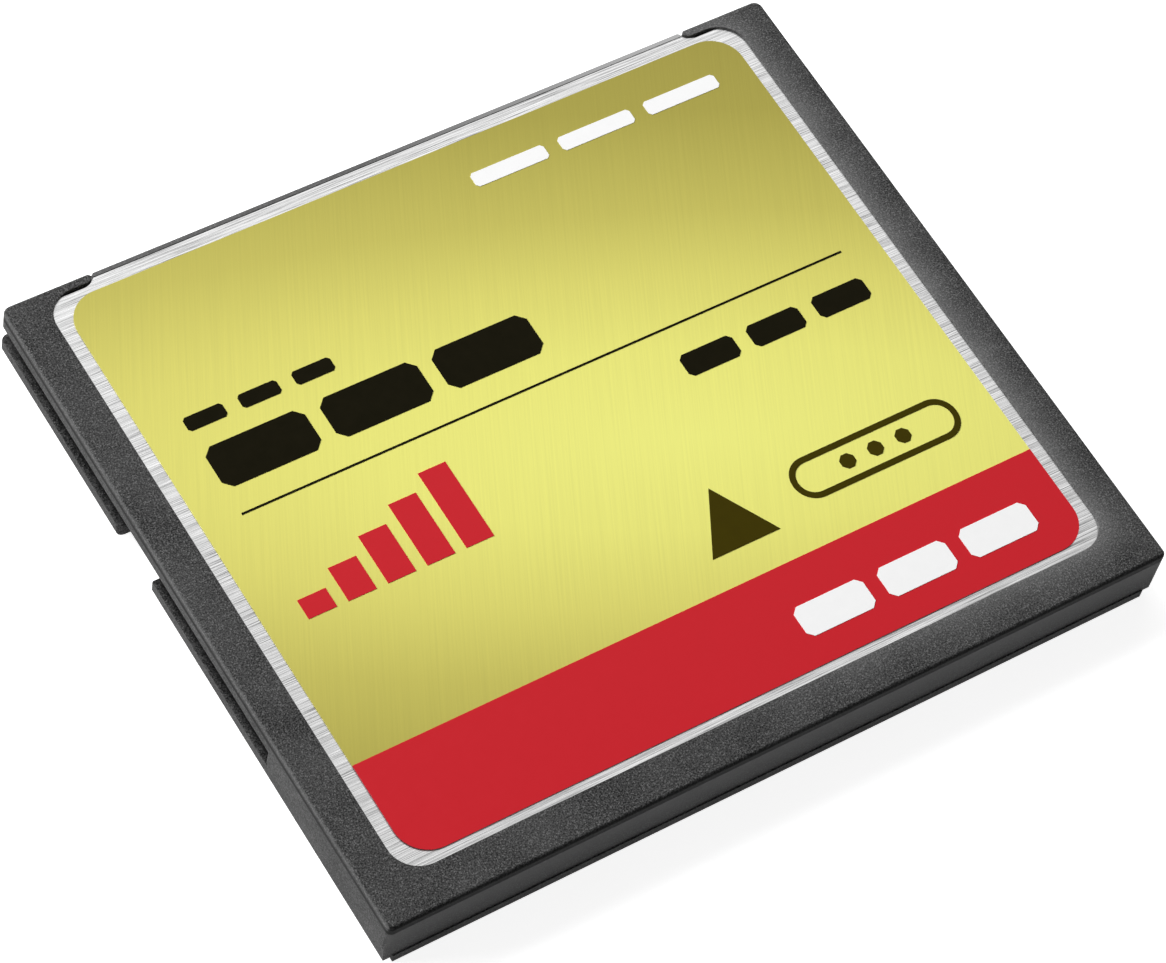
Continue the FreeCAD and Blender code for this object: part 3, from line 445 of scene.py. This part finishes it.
FRAME_DARK = grey(0.006)
FRAME_LIGHT = grey(0.165)
FRAME_GRAIN = 12500.0
FRAME_DEPTH = 0.008 * MM
FRAME_GLOSS = 0.05


def finish_plastic(tree, shader, grain, colour, depth, tints):
    """Lays the tints on a colour, and joins the colour and the grain to the shader."""
    for tint in tints:
        colour = lay_tint(tree, colour, tint)
    join(tree, colour, shader.inputs["Base Color"])
    join(tree, grain.outputs["Roughness"], shader.inputs["Roughness"])
    add_bump(tree, shader, grain.outputs["Height"], depth)


def grained_plastic(name, dark, light, grain_scale, depth, rough_low=0.45, rough_high=0.65,
                    specular=0.5, tints=()):
    """Moulded plastic or ceramic with a fine matte grain."""
    material, tree, shader = new_material(name, rough_high, specular=specular)
    grain = add_group(tree, grain_group, Dark=dark, Light=light, Grain_Scale=grain_scale,
                      Roughness_Low=rough_low, Roughness_High=rough_high)
    finish_plastic(tree, shader, grain, grain.outputs["Color"], depth, tints)
    return material


def frame_plastic():
    """Charcoal plastic with painted shade at the parting line, on the tail's rim and inside the
    guide slots, and painted light on the tail wall.
    """
    return grained_plastic("charcoal_frame_plastic", FRAME_DARK, FRAME_LIGHT, FRAME_GRAIN,
                           FRAME_DEPTH, specular=FRAME_GLOSS,
                           tints=(TAIL_WALL_LIGHT, PARTING_LINE_SHADE, TAIL_RIM_SHADE, GUIDE_SLOT_SHADE))


# The window that the panel lies in: its middle, half its straight sides and its corner
WINDOW_MIDDLE = (0.0, 0.76 * MM, 0.0)
WINDOW_STRAIGHT = (17.92 * MM, 15.41 * MM, 0.0)
WINDOW_CORNER = 1.55 * MM

# Painted sheen: paler plastic beside the window, which grows along its lean
GLOW_SHADE = grey(0.34)
GLOW_STRENGTH = 0.26
GLOW_REACH = 2.0 * MM
GLOW_LEAN = (1.0, -0.25, 0.0)
GLOW_START = -4.0 * MM
GLOW_END = 20.0 * MM


def border_plastic():
    """The top border: grained plastic with a painted sheen beside the panel towards one corner,
    a painted highlight on its left rim and painted shade at its seam and tail rim.
    """
    material, tree, shader = new_material("charcoal_border_plastic", 0.6, specular=FRAME_GLOSS)
    grain = add_group(tree, grain_group, Dark=FRAME_DARK, Light=FRAME_LIGHT,
                      Grain_Scale=FRAME_GRAIN)
    glow = add_group(tree, window_sheen_group, Middle=WINDOW_MIDDLE, Straight_Half=WINDOW_STRAIGHT,
                     Corner=WINDOW_CORNER, Reach=GLOW_REACH, Lean=GLOW_LEAN,
                     Lean_Start=GLOW_START, Lean_End=GLOW_END)
    amount = add_range(tree, glow.outputs["Mask"], 0.0, 1.0, 0.0, GLOW_STRENGTH)
    colour = add_mix(tree, amount, grain.outputs["Color"], GLOW_SHADE, blend="ADD")
    finish_plastic(tree, shader, grain, colour, FRAME_DEPTH, (LEFT_RIM_HIGHLIGHT, PARTING_LINE_SHADE, TAIL_RIM_SHADE))
    return material


def housing_plastic():
    """The socket's smoother plastic, with a painted sheen on its front strip."""
    return grained_plastic("socket_housing_plastic", grey(0.045), grey(0.120),
                           grain_scale=9000.0, depth=0.002 * MM,
                           rough_low=0.35, rough_high=0.5, tints=(SOCKET_STRIP_SHEEN,))


def chip_epoxy():
    return grained_plastic("chip_epoxy", grey(0.018), grey(0.040),
                           grain_scale=7000.0, depth=0.003 * MM)


def inductor_ferrite():
    return grained_plastic("inductor_ferrite", grey(0.05), grey(0.10),
                           grain_scale=6000.0, depth=0.004 * MM)


def capacitor_epoxy():
    return grained_plastic("capacitor_epoxy", (0.55, 0.32, 0.06, 1.0), (0.66, 0.42, 0.10, 1.0),
                           grain_scale=6000.0, depth=0.003 * MM)


def capacitor_ceramic():
    return grained_plastic("capacitor_ceramic", (0.40, 0.29, 0.19, 1.0), (0.50, 0.38, 0.26, 1.0),
                           grain_scale=6000.0, depth=0.002 * MM, rough_low=0.3, rough_high=0.45)


def resistor_ceramic():
    return grained_plastic("resistor_ceramic", grey(0.05), grey(0.08),
                           grain_scale=6000.0, depth=0.002 * MM, rough_low=0.25, rough_high=0.4)


# Metals

STEEL_LINES = (
    (0.37, grey(0.10)),
    (0.47, grey(0.44)),
    (0.61, grey(0.70)),
)
STEEL_STREAKS = (
    (0.38, grey(0.88)),
    (0.58, grey(1.0)),
)


def brushed_steel():
    """Stainless sheet, brushed from side to side."""
    material, tree, shader = new_material("brushed_panel_steel", 0.3, metallic=1.0)
    brushing = add_group(tree, brushing_group, Lines_Per_Metre=28000.0, Line_Length=200.0)
    lines = brushing.outputs["Lines"]
    fine = add_ramp(tree, lines, STEEL_LINES)
    broad = add_ramp(tree, brushing.outputs["Streaks"], STEEL_STREAKS)
    colour = add_mix(tree, 1.0, fine, broad, blend="MULTIPLY")
    join(tree, colour, shader.inputs["Base Color"])
    rough = add_range(tree, lines, 0.3, 0.7, 0.34, 0.22)
    join(tree, rough, shader.inputs["Roughness"])
    add_bump(tree, shader, lines, 0.004 * MM)
    return material


def plated_metal(name, base, shade, roughness):
    """Plated metal with a slightly uneven tone."""
    material, tree, shader = new_material(name, roughness, metallic=1.0)
    mottle = add_group(tree, print_group, Ink=base, Thin=shade, Mottle_Scale=2500.0)
    join(tree, mottle.outputs["Color"], shader.inputs["Base Color"])
    add_bump(tree, shader, mottle.outputs["Height"], 0.002 * MM)
    return material


def contact_plating():
    return plated_metal("gold_plated_contact", (0.90, 0.66, 0.26, 1.0), (0.80, 0.55, 0.20, 1.0),
                        roughness=0.28)


def crystal_lid():
    return plated_metal("crystal_lid_metal", grey(0.72), grey(0.60), roughness=0.35)


# Label, its inks and the films

# The film's painted sheen, a bright band: its middle, turn, length against width, and half width
GOLD_SHEEN_MIDDLE = (4.74 * MM, -2.58 * MM, 0.0)
GOLD_SHEEN_TURN = math.radians(-22.1)
GOLD_SHEEN_STRETCH = 3.1
GOLD_SHEEN_REACH = 24.0 * MM
GOLD_SHEEN_STOPS = (
    (0.00, (0.925, 0.920, 0.235, 1.0)),
    (0.21, (0.870, 0.850, 0.207, 1.0)),
    (0.38, (0.750, 0.707, 0.162, 1.0)),
    (0.54, (0.585, 0.534, 0.113, 1.0)),
    (0.79, (0.417, 0.368, 0.069, 1.0)),
    (1.00, (0.370, 0.320, 0.060, 1.0)),
)
# Keeps the film's thickness out of the painted sheen
GOLD_SHEEN_FLAT = 1000.0

RIB_TURN = math.radians(63.0)
RIB_STOPS = (
    (0.35, grey(0.94)),
    (0.65, grey(1.0)),
)
DARK_INK_GLOSS = 0.03


def gold_film():
    """Satin gold film with a painted sheen, brightest along a broad band, and coloured dark red
    under the stripe, which paints shade along the stripe's edge.
    """
    material, tree, shader = new_material("gold_label_film", 0.40, specular=0.18)
    # The painted sheen: gold that is brightest along the band and darker away from it
    band = new_node(tree, "ShaderNodeMapping", vector_type="TEXTURE")
    band.inputs["Location"].default_value = GOLD_SHEEN_MIDDLE
    band.inputs["Rotation"].default_value = (0.0, 0.0, GOLD_SHEEN_TURN)
    band.inputs["Scale"].default_value = (GOLD_SHEEN_STRETCH, 1.0, GOLD_SHEEN_FLAT)
    join(tree, object_point(tree), band.inputs["Vector"])
    away = new_node(tree, "ShaderNodeVectorMath", operation="LENGTH")
    join(tree, band.outputs["Vector"], away.inputs[0])
    place = add_range(tree, away.outputs["Value"], 0.0, GOLD_SHEEN_REACH, 0.0, 1.0)
    tone = add_ramp(tree, place, GOLD_SHEEN_STOPS)
    ribs = add_group(tree, brushing_group, Lines_Per_Metre=9500.0, Line_Length=100.0,
                     Turn=(0.0, 0.0, RIB_TURN))
    lines = ribs.outputs["Lines"]
    film = add_mix(tree, 1.0, tone, add_ramp(tree, lines, RIB_STOPS), blend="MULTIPLY")
    join(tree, lay_tint(tree, film, UNDER_STRIPE_SHADE), shader.inputs["Base Color"])
    rough = add_range(tree, lines, 0.3, 0.7, 0.46, 0.36)
    join(tree, rough, shader.inputs["Roughness"])
    add_bump(tree, shader, lines, 0.001 * MM)
    return material


def printed_ink(name, ink, thin, mottle_scale=1800.0, specular=0.15):
    """Ink on the label film, or a dyed film."""
    material, tree, shader = new_material(name, 0.35, specular=specular)
    mottle = add_group(tree, print_group, Ink=ink, Thin=thin, Mottle_Scale=mottle_scale)
    join(tree, mottle.outputs["Color"], shader.inputs["Base Color"])
    join(tree, mottle.outputs["Roughness"], shader.inputs["Roughness"])
    add_bump(tree, shader, mottle.outputs["Height"], 0.002 * MM)
    return material


def red_ink():
    return printed_ink("label_red", (0.585, 0.013, 0.022, 1.0), (0.60, 0.016, 0.026, 1.0))


def black_ink():
    return printed_ink("label_black", (0.006, 0.005, 0.001, 1.0), (0.010, 0.008, 0.003, 1.0),
                       specular=DARK_INK_GLOSS)


def olive_ink():
    return printed_ink("label_olive", (0.046, 0.035, 0.001, 1.0), (0.054, 0.042, 0.002, 1.0),
                       specular=DARK_INK_GLOSS)


def white_ink():
    return printed_ink("label_white", grey(1.0), grey(0.95))


def insulating_film():
    return printed_ink("insulating_film", (0.60, 0.30, 0.04, 1.0), (0.66, 0.36, 0.06, 1.0),
                       mottle_scale=900.0)


# Board

MASK_STOPS = (
    (0.0, (0.020, 0.115, 0.050, 1.0)),
    (0.6, (0.035, 0.170, 0.080, 1.0)),
)
WEAVE_SCALE = 2000.0
WEAVE_UNEVEN = 0.15


def board_laminate():
    """Green solder mask with the weave of the glass cloth faintly showing."""
    material, tree, shader = new_material("green_board_laminate", 0.35, coat=0.3)
    weave = new_node(tree, "ShaderNodeTexVoronoi", distance="CHEBYCHEV")
    weave.inputs["Scale"].default_value = WEAVE_SCALE
    weave.inputs["Randomness"].default_value = WEAVE_UNEVEN
    join(tree, object_point(tree), weave.inputs["Vector"])
    mask = add_ramp(tree, weave.outputs["Distance"], MASK_STOPS)
    join(tree, mask, shader.inputs["Base Color"])
    add_bump(tree, shader, weave.outputs["Distance"], 0.003 * MM)
    return material


# Which piece is made of what

def dress(material, *names):
    for name in names:
        for slot in nodes[name].material_slots:
            slot.material = material


dress(frame_plastic(), "main_frame")
dress(border_plastic(), "top_frame")
dress(brushed_steel(), "top_panel", "bottom_panel")
dress(gold_film(), "front_label")
dress(red_ink(), "label_red_print")
dress(black_ink(), "label_black_print")
dress(olive_ink(), "label_olive_print")
dress(white_ink(), "label_white_print")
dress(housing_plastic(), "connector_housing")
dress(contact_plating(), "socket_contacts_upper", "socket_contacts_lower")
dress(board_laminate(), "circuit_board")
dress(chip_epoxy(), "flash_chip_left", "flash_chip_right", "controller_chip",
      "voltage_regulator", "reset_chip")
dress(crystal_lid(), "crystal")
dress(inductor_ferrite(), "power_inductor")
dress(capacitor_epoxy(), "bulk_capacitors")
dress(capacitor_ceramic(), "decoupling_capacitors")
dress(resistor_ceramic(), "resistor_arrays")
dress(insulating_film(), "top_insulator", "bottom_insulator")


# Studio

FLOOR_SIZE = 4.0
FLOOR_SHADE = grey(0.80)
FLOOR_LIFT = 0.85
AMBIENT = 0.10

# Square lamps that face the card: name, place and width in millimetres, power in watts
SOFTBOXES = (
    ("mirror_softbox", (100, 200, 200), 240, 0.11),
    ("back_softbox", (-204, 476, 442), 400, 5.0),
    ("edge_softbox", (-504, 234, 226), 180, 1.2),
)

CAMERA_LENS = 138.8
CAMERA_SENSOR = 36.0
CAMERA_PLACE = (-81.345, -83.683, 180.112)
CAMERA_TURN = (31.921, -8.1875, -31.524)


def seen_directly(tree):
    """1 for rays from the camera, a reflection or a clear body, and 0 for all others."""
    path = new_node(tree, "ShaderNodeLightPath")
    rays = path.outputs["Is Camera Ray"]
    for other in ("Is Glossy Ray", "Is Transmission Ray"):
        rays = add_math(tree, "MAXIMUM", rays, path.outputs[other])
    return rays


def make_floor():
    """A plain pale floor that keeps the shadow and reads white around it."""
    bpy.ops.object.select_all(action="DESELECT")
    bpy.ops.mesh.primitive_plane_add(size=FLOOR_SIZE, location=(0.0, 0.0, 0.0))
    floor = bpy.context.object
    floor.name = "floor"
    material, tree, shader = new_material("pale_floor", 0.9, specular=0.0)
    shader.inputs["Base Color"].default_value = FLOOR_SHADE
    shader.inputs["Emission Color"].default_value = WHITE
    lift = add_range(tree, seen_directly(tree), 0.0, 1.0, 0.0, FLOOR_LIFT)
    join(tree, lift, shader.inputs["Emission Strength"])
    floor.data.materials.append(material)


def make_world():
    """Plain ambient light, seen as white by the camera and by what reflects it."""
    world = bpy.data.worlds.new("studio")
    bpy.context.scene.world = world
    world.use_nodes = True
    tree = world.node_tree
    background = tree.nodes["Background"]
    background.inputs["Color"].default_value = WHITE
    strength = add_range(tree, seen_directly(tree), 0.0, 1.0, AMBIENT, 1.0)
    join(tree, strength, background.inputs["Strength"])


def add_softbox(name, place, width, power):
    """A square area lamp that points at the origin."""
    lamp = bpy.data.lights.new(name, "AREA")
    lamp.shape = "SQUARE"
    lamp.size = width * MM
    lamp.energy = power
    holder = bpy.data.objects.new(name, lamp)
    bpy.context.scene.collection.objects.link(holder)
    holder.location = Vector(place) * MM
    holder.rotation_euler = (-holder.location).to_track_quat("-Z", "Y").to_euler()


def add_camera():
    """The camera of the photograph: a long lens, high over the tail's left corner."""
    data = bpy.data.cameras.new("camera")
    data.lens = CAMERA_LENS
    data.sensor_width = CAMERA_SENSOR
    data.clip_start = 1 * MM
    camera = bpy.data.objects.new("camera", data)
    camera.location = Vector(CAMERA_PLACE) * MM
    camera.rotation_euler = [math.radians(turn) for turn in CAMERA_TURN]
    bpy.context.scene.collection.objects.link(camera)
    bpy.context.scene.camera = camera


make_floor()
make_world()
for softbox in SOFTBOXES:
    add_softbox(*softbox)
add_camera()

scene = bpy.context.scene
scene.view_settings.view_transform = "Standard"
